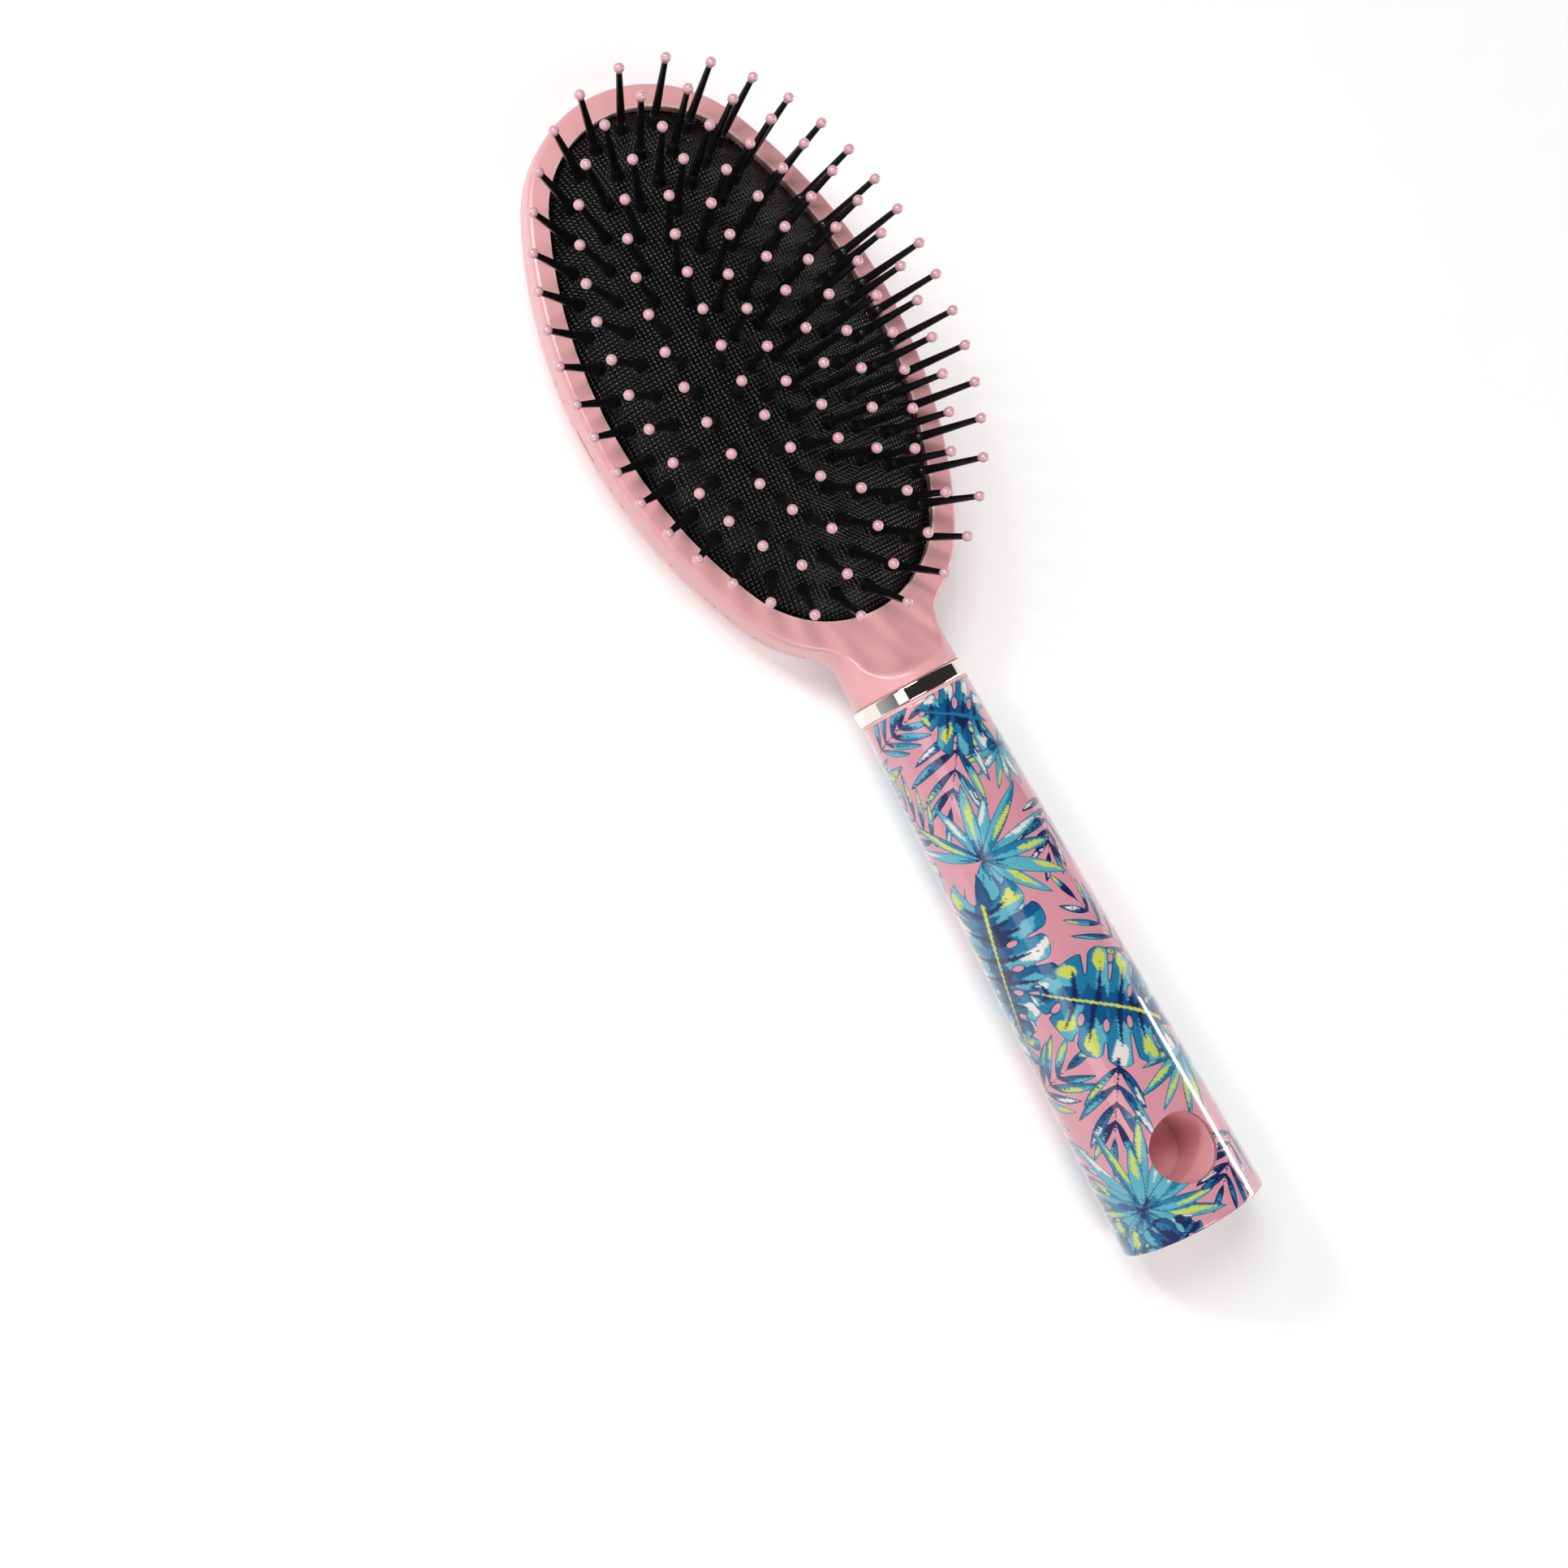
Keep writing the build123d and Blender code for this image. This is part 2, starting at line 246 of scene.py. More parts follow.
def lathe(profile, segments):
    """Closed turned shape about the Z axis from (radius, height) points, end to end."""
    corners, faces = [(0.0, 0.0, profile[0][1])], []
    for radius, height in profile:
        corners += circle(radius, height, segments)
    corners.append((0.0, 0.0, profile[-1][1]))
    top, first = len(corners) - 1, len(corners) - 1 - segments
    for k in range(segments):
        faces.append([0, 1 + (k + 1) % segments, 1 + k])
        faces.append([top, first + k, first + (k + 1) % segments])
    faces += grid_faces(len(profile), segments, offset=1)
    return np.array(corners), faces


def turned_ring(profile, segments):
    """Ring about the Z axis whose section is the closed loop of (radius, height) points."""
    corners = [point for radius, height in profile for point in circle(radius, height, segments)]
    return np.array(corners), loop_faces(len(profile), segments)


def arc(centre, radius, start, end, steps):
    """Points of an arc in a section, angles in degrees."""
    angles = [radians(start + (end - start) * k / steps) for k in range(steps + 1)]
    return [(centre[0] + radius * cos(a), centre[1] + radius * sin(a)) for a in angles]


def along_handle(corners):
    """Turns a shape about Z into one about the handle's axis, height h going to y = -h."""
    x, y, z = np.asarray(corners).T
    return np.stack([x, -z, AXIS_Z + y], axis=1)


def copies(corners, faces, frames):
    """The same shape at several 4 x 4 frames, as one mesh."""
    all_corners, all_faces = [], []
    for place in frames:
        turned = corners @ place[:3, :3].T + place[:3, 3]
        offset = len(all_corners) * len(corners)
        all_corners.append(turned)
        all_faces += [[offset + corner for corner in face] for face in faces]
    return np.concatenate(all_corners), all_faces


# ==== Distances ====

def oval_distance(x, y, size):
    """Signed distance from an oval of four tangent arcs, long axis along Y."""
    length, width, end = size
    side = ((length - end) ** 2 + width ** 2 - end ** 2) / (2 * (width - end))
    x, y = np.abs(x), np.abs(y)
    beyond = (x + side - width) * (length - end) < y * (side - width)
    by_end = np.hypot(x, y - (length - end)) - end
    by_side = np.hypot(x + side - width, y) - side
    return np.where(beyond, by_end, by_side)


def both(a, b, radius):
    """Inside both shapes, with their shared edge rounded."""
    u, v = np.maximum(radius + a, 0), np.maximum(radius + b, 0)
    return np.minimum(-radius, np.maximum(a, b)) + np.hypot(u, v)


def either(a, b, radius):
    """Inside either shape, with the corner between them filled to a radius."""
    u, v = np.maximum(radius - a, 0), np.maximum(radius - b, 0)
    return np.maximum(radius, np.minimum(a, b)) - np.hypot(u, v)


def ease(value, low, high):
    """0 below low, 1 above high and a smooth turn between."""
    t = np.clip((value - low) / (high - low), 0, 1)
    return t * t * (3 - 2 * t)


def head_outside(x, y, z):
    """Outside of head and neck before the face is cut: wall above, bowl below."""
    plan = oval_distance(x, y - HEAD_Y - FACE_SHIFT, FACE)
    wall = plan - SIDE_BULGE * np.clip((FACE_Z - z) / (FACE_Z - AXIS_Z), 0, 1)
    across = np.maximum(BACK_INSET + plan - SIDE_BULGE, 0) / BACK_INSET
    down = (AXIS_Z - z) / AXIS_Z
    size = np.hypot(across, down)
    slope = np.maximum(np.hypot(across / BACK_INSET, down / AXIS_Z), 1e-9)
    bowl = np.where(size < 1e-3, -AXIS_Z, size * (size - 1) / slope)
    head = np.where(z >= AXIS_Z, wall, bowl)
    neck = both(np.hypot(x, z - AXIS_Z) - NECK_RADIUS, y - NECK_TOP_Y, NECK_TOP_ROUNDING)
    return either(head, neck, NECK_BLEND)


def above_face(x, y, z):
    """Positive above the face and above the scoop, with its shallow dish, up to the ferrule."""
    dish = DISH_DEPTH * np.exp(-((x / DISH_WIDTH) ** 2) - ((y - DISH_Y) / DISH_LENGTH) ** 2)
    flat = z - FACE_Z
    curved = SCOOP_RADIUS - np.hypot(y - SCOOP_START_Y, z - FACE_Z - SCOOP_RADIUS)
    return np.where(y >= SCOOP_START_Y, flat, curved) + dish


def front_field(x, y, z):
    """Front frame with the neck: face, cushion opening and the pocket behind its lip."""
    solid = both(head_outside(x, y, z), NECK_END_Y - y, 0.4)
    soften = 1.0 - 0.3 * ease(SCOOP_START_Y + 1 - y, 0, 5)
    solid = both(solid, above_face(x, y, z), soften)
    opening = oval_distance(x, y - HEAD_Y, OPENING)
    pocket = np.maximum(opening - POCKET_OFFSET, z - LIP_BOTTOM_Z)
    solid = both(solid, -np.minimum(opening, pocket), 0.3)
    return both(solid, np.minimum(AXIS_Z - z, y - SEAM_Y), SEAM_ROUNDING)


def back_field(x, y, z):
    """Hollow back cover below the parting line."""
    outside = head_outside(x, y, z)
    hollow = np.maximum(outside + HEAD_WALL, z - LEDGE_Z)
    mouth = oval_distance(x, y - HEAD_Y, OPENING)
    solid = both(outside, -np.minimum(hollow, np.maximum(mouth, LEDGE_Z - 3 - z)), 0.4)
    return both(solid, -np.minimum(AXIS_Z - z, y - SEAM_Y), SEAM_ROUNDING)


def square_edge(points, step):
    """Sets the corners at the head's parting line exactly on it, round the outside."""
    at_line = np.abs(points[:, 2] - AXIS_Z) < 0.5 * step
    outer = at_line & (head_outside(*points.T) > -0.5 * step) & (points[:, 1] > SEAM_Y)
    edge = points[outer]
    edge[:, 2] = AXIS_Z
    for _ in range(4):
        value, slope = head_outside(*edge.T), slope_of(head_outside, edge)[:, :2]
        edge[:, :2] -= value[:, None] * slope / np.maximum((slope ** 2).sum(1), 0.2)[:, None]
    points[outer] = edge
    return points


def shaded_as_wall(field):
    """The same field, but with the slope of the plain outside wall by the parting line."""
    def shaded(x, y, z):
        outside = head_outside(x, y, z)
        by_seam = (np.abs(z - AXIS_Z) < 0.7) & (np.abs(outside) < 0.35) & (y > SEAM_Y)
        return np.where(by_seam, outside, field(x, y, z))
    return shaded


def dome_height(x, y):
    """Height of the cushion's surface over a point given from the cushion's centre."""
    level = 1 - (x / DOME[0]) ** 2 - (y / DOME[1]) ** 2
    return FACE_Z + DOME_TOP - DOME[2] + DOME[2] * np.sqrt(np.maximum(level, 1e-4))


# ==== Pins ====

def ring_places(ring):
    """Pin places of one elliptical ring, evenly spaced along it from the top."""
    half_length = RING_LENGTH - ring * RING_LENGTH_STEP
    half_width = RING_WIDTH - ring * RING_WIDTH_STEP
    count = RING_COUNT - ring * RING_COUNT_STEP
    angles = [2 * pi * sample / ARC_SAMPLES for sample in range(ARC_SAMPLES + 1)]
    points = [(half_width * sin(angle), half_length * cos(angle)) for angle in angles]
    travelled = [0.0]
    for (x0, y0), (x1, y1) in zip(points, points[1:]):
        travelled.append(travelled[-1] + hypot(x1 - x0, y1 - y0))
    places = []
    for pin in range(count):
        goal = travelled[-1] * pin / count
        nearest = min(range(ARC_SAMPLES), key=lambda sample: abs(travelled[sample] - goal))
        places.append(points[nearest])
    return places


def centre_places():
    """Pin places inside the inner ring."""
    places = [(0, side * y) for y in CORE_LINE for side in (1, -1)]
    for x, y in CORE_QUADRANT:
        places += [(sx * x, sy * y) for sx in (1, -1) for sy in (1, -1)]
    return places


def pin_frame(place):
    """4 x 4 frame on the cushion's surface at a pin, its Z axis along the pin."""
    x, y = place[0], place[1] + PIN_SHIFT_Y
    up = Vector((FAN_X * place[0], FAN_Y * place[1], 1)).normalized()
    side = Vector((1, 0, -FAN_X * place[0])).normalized()
    side = (side - up * side.dot(up)).normalized()
    turned = np.eye(4)
    turned[:3, 0], turned[:3, 1], turned[:3, 2] = side, up.cross(side), up
    turned[:3, 3] = (x, HEAD_Y + y, float(dome_height(x, y)))
    return turned


PIN_GROUPS = {f"ring_{ring + 1}": ring_places(ring) for ring in range(4)}
PIN_GROUPS["centre"] = centre_places()


# ==== Materials ====

def linear(red, green, blue):
    """Linear colour from 0 to 255 display values."""
    values = [value / 255 for value in (red, green, blue)]
    return tuple(v / 12.92 if v <= 0.04045 else ((v + 0.055) / 1.055) ** 2.4 for v in values)


class Look:
    """A node material around one Principled shader."""

    def __init__(self, name, **settings):
        self.material = bpy.data.materials.new(name)
        self.material.use_nodes = True
        self.nodes, self.links = self.material.node_tree.nodes, self.material.node_tree.links
        self.shader = self.nodes["Principled BSDF"]
        for socket, value in settings.items():
            self.shader.inputs[socket.replace("_", " ")].default_value = value
        self.place = self.node("ShaderNodeTexCoord").outputs["Object"]

    def node(self, kind, **settings):
        made = self.nodes.new(kind)
        for key, value in settings.items():
            setattr(made, key, value)
        return made

    def feed(self, socket, value):
        """Links an output to an input, or sets a number or a colour on it."""
        if isinstance(value, bpy.types.NodeSocket):
            self.links.new(value, socket)
        else:
            socket.default_value = (*value, 1) if isinstance(value, tuple) else value

    def split(self, vector):
        """The three parts of a vector."""
        split = self.node("ShaderNodeSeparateXYZ")
        self.feed(split.inputs[0], vector)
        return list(split.outputs)

    def stored(self, layer):
        """Colours stored on the piece's corners."""
        return self.node("ShaderNodeVertexColor", layer_name=layer).outputs["Color"]

    def noise(self, size, detail, stretch=(1, 1, 1)):
        """Noise with features about size millimetres across."""
        mapping, noise = self.node("ShaderNodeMapping"), self.node("ShaderNodeTexNoise")
        mapping.inputs["Scale"].default_value = stretch
        self.feed(mapping.inputs["Vector"], self.place)
        self.feed(noise.inputs["Vector"], mapping.outputs["Vector"])
        self.feed(noise.inputs["Scale"], 1 / (size * MM))
        self.feed(noise.inputs["Detail"], detail)
        return noise.outputs["Fac"]

    def mix(self, factor, dark, light, kind="MIX"):
        """Two colours mixed by a factor."""
        mix = self.node("ShaderNodeMix", data_type="RGBA", blend_type=kind)
        for socket, value in zip((mix.inputs["Factor"], *mix.inputs[6:8]), (factor, dark, light)):
            self.feed(socket, value)
        return mix.outputs[2]

    def spread(self, value, low, high, start=0.3, end=0.7):
        """A value from 0 to 1 spread between two numbers."""
        spread = self.node("ShaderNodeMapRange")
        for socket, number in zip(spread.inputs, (value, start, end, low, high)):
            self.feed(socket, number)
        return spread.outputs["Result"]

    def math(self, kind, a, b=0.0):
        """One Math node; inputs are sockets or numbers."""
        made = self.node("ShaderNodeMath", operation=kind)
        self.feed(made.inputs[0], a)
        self.feed(made.inputs[1], b)
        return made.outputs[0]

    def colour(self, value):
        self.feed(self.shader.inputs["Base Color"], value)

    def roughness(self, value, low, high):
        """Uneven gloss between two numbers."""
        self.feed(self.shader.inputs["Roughness"], self.spread(value, low, high))

    def bump(self, height, depth, strength=1.0):
        """Bump of about depth millimetres from a height between 0 and 1."""
        bump = self.node("ShaderNodeBump")
        bump.inputs["Strength"].default_value = strength
        bump.inputs["Distance"].default_value = depth * MM
        self.feed(bump.inputs["Height"], height)
        self.feed(self.shader.inputs["Normal"], bump.outputs["Normal"])


def pink_plastic(name, shade, gloss):
    """Moulded pink plastic: faint flow marks, broad shallow ripple, and a ragged pale painted
    highlight where the piece stores one on its corners.
    """
    look = Look(name, IOR=1.5, Coat_Weight=0.25, Coat_Roughness=0.12)
    darker, lighter = (tuple(value * part for value in shade) for part in (0.975, 1.02))
    flow = look.mix(look.noise(22, 1, (1, 0.35, 1)), darker, lighter)
    # painted highlight: a pale cream line, made ragged by noise, laid where the stored lip highlight
    # is set
    painted_highlight_share = look.math("MULTIPLY", look.stored("painted_lip_highlight"), look.spread(look.noise(3, 3), 0.45, 1.0))
    look.colour(look.mix(painted_highlight_share, flow, linear(246, 222, 208)))
    look.roughness(look.noise(14, 2), gloss - 0.03, gloss + 0.03)
    look.bump(look.noise(9, 1), 0.012, 0.3)
    return look.material


def woven_rubber():
    """Black rubber pressed with a fine grid of square pillows, like woven mesh, with painted shade
    that darkens the grooves between them.
    """
    look = Look("cushion_rubber", IOR=1.5, Specular_IOR_Level=0.3)
    pitch = 0.83 * MM
    ways = [look.math("MULTIPLY", part, pi / pitch) for part in look.split(look.place)[:2]]
    waves = [look.math("ABSOLUTE", look.math("SINE", way)) for way in ways]
    pillow = look.math("MULTIPLY", *[look.math("POWER", wave, 0.55) for wave in waves])
    tone = look.mix(look.noise(9, 3), (0.010, 0.010, 0.0104), (0.020, 0.020, 0.0206))
    # painted shade: the grooves between the pillows are coloured near black, and the crowns keep the
    # rubber's tone
    crown = look.math("POWER", pillow, 3.0)
    look.colour(look.mix(crown, (0.0006, 0.0006, 0.0006), tone))
    look.roughness(look.noise(0.7, 3), 0.14, 0.22)
    worn = look.math("MULTIPLY", look.noise(0.3, 2), 0.10)
    look.bump(look.math("ADD", pillow, worn), 0.25)
    return look.material


def black_plastic(name, tone, gloss, ripple):
    """Black moulded plastic with a soft sheen and faint drag marks."""
    look = Look(name, IOR=1.5)
    look.colour(look.mix(look.noise(3, 3), (tone, tone, tone), (tone * 2, tone * 2, tone * 2.1)))
    look.roughness(look.noise(0.9, 3), gloss - 0.07, gloss + 0.07)
    look.bump(look.noise(0.5, 3, (1, 1, 0.3)), ripple, 0.6)
    return look.material


def tip_enamel():
    """Glossy pale pink enamel of the pin tips."""
    look = Look("tip_enamel", IOR=1.5, Coat_Weight=0.7, Coat_Roughness=0.06, Subsurface_Weight=0.15,
                Subsurface_Radius=(0.001, 0.0005, 0.0005), Subsurface_Scale=0.5)
    look.colour(look.mix(look.noise(1.5, 2), linear(206, 155, 163), linear(217, 170, 177)))
    look.roughness(look.noise(0.4, 3), 0.16, 0.26)
    look.bump(look.noise(0.35, 3), 0.01, 0.5)
    return look.material


def chrome():
    """Bright plating, tinted warm as a painted reflection of warm surroundings, with faint polishing
    lines round the ring and a shallow ripple.
    """
    look = Look("ferrule_chrome", Metallic=1.0)
    # painted reflection: the plating's colour is tinted warm, as if it reflected warm surroundings
    look.colour(look.mix(look.noise(4, 3), (0.80, 0.74, 0.69), (0.92, 0.88, 0.85)))
    look.roughness(look.noise(0.6, 4, (0.3, 3, 0.3)), 0.03, 0.08)
    look.bump(look.noise(5, 2), 0.03, 0.5)
    return look.material


def printed_gloss():
    """Clear-coated print: leaf colours and crisp leaf edges stored on the sleeve."""
    look = Look("printed_sleeve", IOR=1.5, Coat_Weight=1.0, Coat_Roughness=0.02)
    leaf = look.stored("print")
    cover, line, _ = look.split(look.stored("edges"))
    inside = look.spread(cover, 1, 0, stored_edge(-0.03), stored_edge(0.03))
    rise = look.spread(line, 0, 1, stored_edge(-0.22), stored_edge(-0.14))
    fall = look.spread(line, 1, 0, stored_edge(0), stored_edge(0.06))
    outline = look.math("MULTIPLY", look.math("MULTIPLY", rise, fall), 0.62)
    darker, lighter = (tuple(value * part for value in PINK) for part in (0.975, 1.025))
    ground = look.mix(look.noise(0.5, 3), darker, lighter)
    printed = look.mix(inside, ground, look.mix(outline, leaf, tuple(NAVY)))
    fade = look.mix(look.noise(6, 4), (0.96, 0.96, 0.96), (1.03, 1.03, 1.03))
    look.colour(look.mix(1, printed, fade, "MULTIPLY"))
    look.roughness(look.noise(1.2, 4), 0.12, 0.24)
    look.bump(look.noise(7, 3), 0.012, 0.4)
    return look.material


def pale_floor():
    """Plain pale studio floor that glows faintly: painted light that fills its shadows and lights
    the brush from below.
    """
    # the faint emission is painted light: it lightens the floor's shadows and lights the brush from
    # below
    look = Look("floor", Specular_IOR_Level=0.3, Emission_Color=(1, 1, 1, 1), Emission_Strength=0.18)
    look.colour(look.mix(look.noise(60, 3), (0.79, 0.79, 0.79), (0.82, 0.82, 0.82)))
    look.roughness(look.noise(8, 3), 0.45, 0.6)
    return look.material


# ==== Printed leaves ====

PINK = linear(208, 142, 154)
NAVY, BLUE, MID, TEAL, LIME, CREAM = (np.array(linear(*shade)) for shade in (
    (22, 34, 82), (14, 80, 128), (30, 116, 154), (88, 166, 184), (196, 202, 84), (220, 214, 208),
))

# Base, one side, other side and bright stroke of a blade.
STROKES = (
    (NAVY, MID, TEAL, LIME),
    (BLUE, TEAL, MID, CREAM),
    (BLUE, MID, TEAL, LIME),
    (NAVY, BLUE, MID, TEAL),
    (BLUE, TEAL, TEAL, LIME),
    (NAVY, BLUE, MID, CREAM),
)
FAN_STROKES = (
    (MID, TEAL, MID, LIME),
    (BLUE, TEAL, TEAL, LIME),
    (MID, TEAL, TEAL, CREAM),
    (BLUE, MID, TEAL, LIME),
)
LOBE_STROKES = (
    (BLUE, MID, TEAL, LIME),
    (MID, TEAL, BLUE, CREAM),
    (BLUE, TEAL, MID, LIME),
    (NAVY, BLUE, MID, TEAL),
    (BLUE, MID, TEAL, CREAM),
)
COOL_STROKES = (
    (BLUE, TEAL, MID, TEAL),
    (NAVY, MID, TEAL, TEAL),
)
DARK_STROKES = (
    (NAVY, BLUE, MID, TEAL),
    (NAVY, BLUE, NAVY, MID),
    (NAVY, NAVY, BLUE, CREAM),
)
EDGE_SCALE = 4.0  # edge distances of +-2 mm are stored as 0 to 1


def stored_edge(distance):
    """An edge distance as it is stored."""
    return 0.5 + distance / EDGE_SCALE


def handle_radius(y):
    """Outer radius of the handle where it is cut at y."""
    share = (FERRULE_END_Y - y) / (FERRULE_END_Y - HANDLE_END_Y)
    return HANDLE_TOP_RADIUS + (HANDLE_END_RADIUS - HANDLE_TOP_RADIUS) * share


def blade_frame(x, y, start, heading, length, width, bend):
    """Share along a curved blade, share across it and distance outside it, in mm."""
    ahead_x, ahead_y = sin(heading), cos(heading)
    from_x, from_y = x - start[0], y - start[1]
    t = (from_x * ahead_x + from_y * ahead_y) / length
    side = from_x * ahead_y - from_y * ahead_x - bend * length * t * np.abs(t)
    inner = np.clip(t, 0, 1)
    half = width * (3.24 * inner ** 0.8 * (1 - inner) ** 0.9)
    slope = np.hypot(1, 2 * bend * inner)
    distance = np.maximum((np.abs(side) - half) / slope, np.maximum(-t, t - 1) * length)
    return t, side / np.maximum(half, 0.05), distance


def blade_colour(t, across, width, strokes, draw, dark=1.0):
    """Brush strokes on one blade: dark base, two sides, a bright stroke and a dark line."""
    deep, first, second, bright = strokes
    flip = draw.choice((-1, 1))
    ragged = streaks(across * width * 2.2 + draw.uniform(0, 90), draw, 120) - 0.5
    share = t + 0.34 * ragged
    colour = np.where((across * flip > 0.12)[:, None], first, second)
    colour = np.where((share < dark * draw.uniform(0.22, 0.42))[:, None], deep, colour)
    start, side = draw.uniform(0.30, 0.52), draw.uniform(-0.6, 0.0)
    along = np.clip((share - start) / 0.46, 0, 1)
    lit = np.abs(across * flip - side - 0.7 * (t - start)) < 0.52 * np.sin(pi * along) ** 0.8
    colour = np.where(lit[:, None], bright, colour)
    core = np.abs(across + 0.15 * flip) < 0.30 * (1 - t / draw.uniform(0.5, 0.8))
    return np.where((core & (dark > 0.5))[:, None], NAVY, colour)


class Print:
    """Leaves painted at points of the sleeve, given by angle from the front and by y."""

    def __init__(self, angle, y):
        self.angle, self.y = angle, y
        self.colour = np.tile(MID, (len(y), 1))
        self.cover = np.full(len(y), 2.0)  # distance outside the leaves
        self.line = np.full(len(y), 2.0)  # distance from the last leaf edge, minus inside

    def near(self, base, reach):
        """Points near a base (degrees, y), and their places round and along from it in mm."""
        turn = (self.angle - radians(base[0]) + pi) % (2 * pi) - pi
        round_way, along_way = turn * handle_radius(self.y), self.y - base[1]
        found = np.flatnonzero(np.hypot(round_way, along_way) < reach)
        return found, round_way[found], along_way[found]

    def way(self, base, tip):
        """Heading and length from base to tip."""
        turn = (radians(tip[0] - base[0]) + pi) % (2 * pi) - pi
        reach = (turn * handle_radius((base[1] + tip[1]) / 2), tip[1] - base[1])
        return atan2(*reach), hypot(*reach)

    def lay(self, found, distance, colour):
        """Paints points where distance is negative, and a little beyond it on bare pink."""
        cover, line = self.cover[found], self.line[found]
        painted = (distance < 0) | ((distance < 0.45) & (distance < cover))
        self.colour[found] = np.where(painted[:, None], colour, self.colour[found])
        edge_here = (distance < 0) | (distance < np.abs(line))
        self.line[found] = np.where(edge_here, distance, line)
        self.cover[found] = np.minimum(cover, distance)

    def frond(self, base, tip, reach, pairs, seed, sweep=48, bend=0.12, width=0.72, strokes=STROKES):
        """Feathered palm leaf: a stem with curved pointed leaflets on both sides."""
        draw = np.random.RandomState(seed)
        heading, length = self.way(base, tip)
        found, x, y = self.near(base, length + reach + 2)
        for k in range(pairs + 1):
            share = 0.10 + 0.86 * k / pairs
            start = (share * length * sin(heading), share * length * cos(heading))
            for side in ((1, -1) if k < pairs else (0,)):
                lean = side * radians(sweep * (1.15 - 0.45 * share) + draw.uniform(-6, 6))
                swell = 0.80 + 0.35 * sin(pi * min(share + 0.12, 1))
                size = reach * swell * draw.uniform(0.88, 1.12)
                thick = width * draw.uniform(0.85, 1.15)
                t, across, distance = blade_frame(
                    x, y, start, heading + lean, size, thick, -side * bend
                )
                colour = blade_colour(t, across, width, strokes[draw.randint(len(strokes))], draw)
                self.lay(found, distance, colour)
        self.stem(found, x, y, heading, length * 0.98, 0.26, NAVY)

    def stem(self, found, x, y, heading, length, width, colour):
        """Straight tapering line from the base."""
        t = (x * sin(heading) + y * cos(heading)) / length
        away = np.abs(x * cos(heading) - y * sin(heading))
        inside = (t > 0) & (t < 1) & (away < width * (1.15 - 0.7 * t))
        self.colour[found[inside]] = colour
        self.cover[found] = np.where(inside, np.minimum(self.cover[found], -0.1), self.cover[found])
        self.line[found] = np.where(inside, -1.0, self.line[found])

    def fan(self, centre, heading, spread, blades, reach, width, seed):
        """Fan palm: pointed blades that radiate from a point."""
        draw = np.random.RandomState(seed)
        found, x, y = self.near(centre, reach * 1.15)
        order = list(range(blades))
        draw.shuffle(order)
        for k in order:
            turn = radians(heading + spread * ((k + 0.5) / blades - 0.5) + draw.uniform(-4, 4))
            size = reach * draw.uniform(0.62, 1.0)
            thick, bend = width * draw.uniform(0.8, 1.15), draw.uniform(-0.08, 0.08)
            t, across, distance = blade_frame(x, y, (0, 0), turn, size, thick, bend)
            chosen = FAN_STROKES[draw.randint(len(FAN_STROKES))]
            colour = blade_colour(t, across, width, chosen, draw, 0.45)
            self.lay(found, distance, colour)
        away = np.hypot(x, y)
        star = 0.3 + 2.4 * streaks((np.arctan2(x, y) + pi) * blades / 3.1, draw, 97) ** 2
        self.colour[found[away < star]] = NAVY

    def monstera(self, base, tip, reach, seed, lobes=5, rib=LIME, strokes=LOBE_STROKES):
        """Split leaf: a broad blade with curved lobes, slots between them and long holes."""
        draw = np.random.RandomState(seed)
        heading, length = self.way(base, tip)
        found, x, y = self.near(base, 1.3 * length + reach)
        share = (x * sin(heading) + y * cos(heading)) / length
        side = x * cos(heading) - y * sin(heading)
        level = np.maximum(1 - ((share - 0.40) / 0.66) ** 2, 0) ** 0.5
        half = np.maximum(reach * level * (1 - 0.4 * ease(share, 0.6, 1.06)), 0.1)
        out = np.abs(side) / half  # 0 on the rib, 1 on the margin
        swing = np.minimum(out, 1.3) ** 1.4
        vein = np.clip((share + 0.24 * swing) / (1 + 0.42 * swing), 0, 0.999) * (lobes + 1)
        lobe = np.floor(vein).astype(int) + (side > 0) * (lobes + 1)
        across = 2 * (vein % 1) - 1
        size = draw.uniform(0.90, 1.04, 2 * lobes + 2)[lobe]
        gap = np.minimum(vein % 1, 1 - vein % 1) * length / (lobes + 1) * 0.8
        margin = (out / (size * (1 - 0.16 * np.abs(across) ** 3)) - 1) * half * 0.8
        slit = np.round(vein).astype(int) + (side > 0) * (lobes + 1)
        begin = draw.uniform(0.36, 0.66, 2 * lobes + 3)[slit]
        slot = np.minimum(0.10 + 0.55 * (out - begin) - gap, (out - begin) * half)
        holed = draw.rand(2 * lobes + 3)[slit] < 0.7
        hole = 0.45 * (1 - np.hypot((out - begin * 0.55) * half / 1.2, gap / 0.42))
        distance = np.maximum(np.maximum(margin, slot), np.where(holed, hole, -9))
        colour = np.zeros((len(found), 3))
        for k in range(2 * lobes + 2):
            here = np.flatnonzero(lobe == k)
            chosen = strokes[draw.randint(len(strokes))]
            colour[here] = blade_colour(out[here], across[here], 1.3, chosen, draw, 0.8)
        self.lay(found, distance, colour)
        self.stem(found, x, y, heading, length * 0.97, 0.34, rib)


def streaks(value, draw, count):
    """Ragged random strokes along a running value."""
    table = draw.rand(count)
    low = np.floor(value).astype(int)
    t = value - low
    first, second = table[low % count], table[(low + 1) % count]
    return first + (second - first) * t


